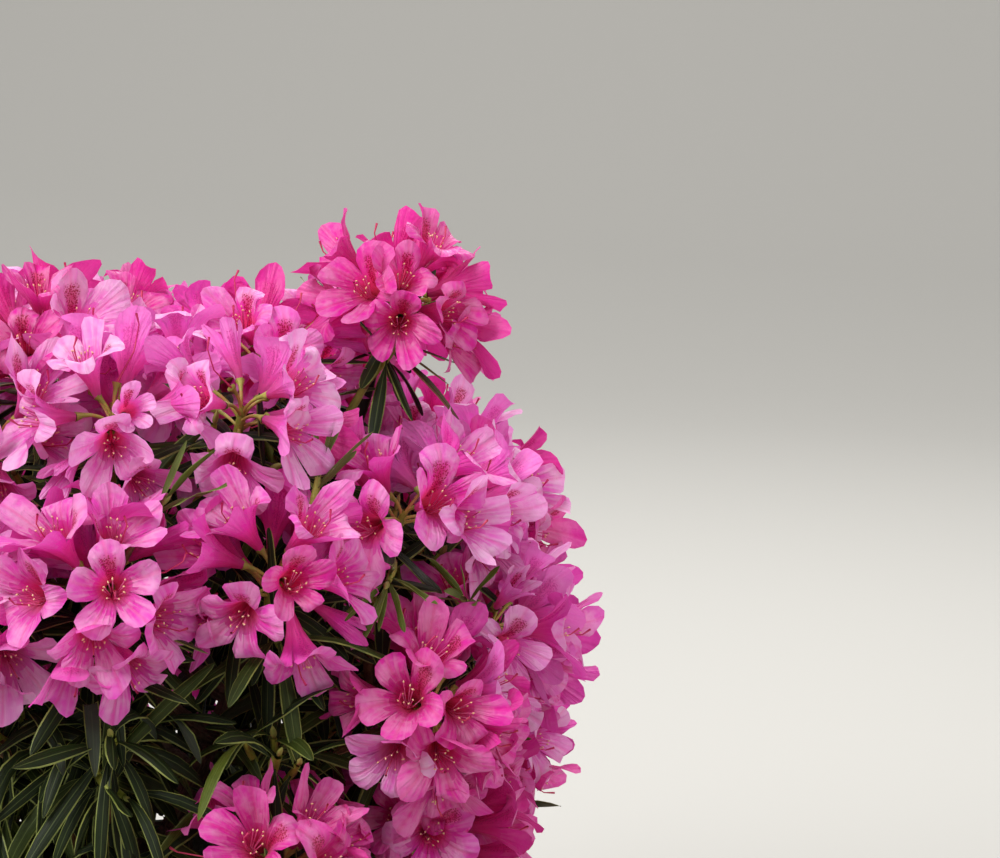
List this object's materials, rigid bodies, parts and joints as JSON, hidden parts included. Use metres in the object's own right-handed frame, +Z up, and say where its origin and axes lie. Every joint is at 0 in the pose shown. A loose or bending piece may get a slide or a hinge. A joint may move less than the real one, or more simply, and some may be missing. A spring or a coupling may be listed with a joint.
{
  "type": "potted rhododendron",
  "caption": "Domed evergreen shrub in full magenta bloom, with narrow drooping leaves, on a short forked stem in a plain tapered round pot of soil.",
  "frame": {"origin": "centre of the pot's flat underside, on the surface that the pot stands on", "axes": "+Z up along the pot's axis, -Y towards the viewer of the picture, +X to the viewer's right"},
  "size_m": [0.5122, 0.545, 0.6767],
  "materials": {
    "pot": "matte fibre-clay",
    "soil": "crumbly compost",
    "bark": "rough bark",
    "blossom": "soft petals",
    "leaf": "leathery leaves"
  },
  "bodies": {
    "root": {"pot": "pot", "soil": "soil", "stem": "bark", "bough_middle_1": "bark", "bough_middle_2": "bark", "bough_middle_3": "bark", "bough_middle_4": "bark", "bough_top_1": "bark", "bough_top_2": "bark", "bough_top_3": "bark", "bough_lower_1": "bark", "bough_lower_2": "bark", "bough_lower_3": "bark", "bough_lower_4": "bark", "bough_lower_5": "bark", "mass_middle_1": "blossom", "mass_middle_2": "blossom", "mass_middle_3": "blossom", "mass_middle_4": "blossom", "mass_top_1": "blossom", "mass_top_2": "blossom", "mass_top_3": "blossom", "mass_lower_1": "blossom", "mass_lower_2": "blossom", "mass_lower_3": "blossom", "mass_lower_4": "blossom", "mass_lower_5": "leaf"}
  },
  "joints": []
}
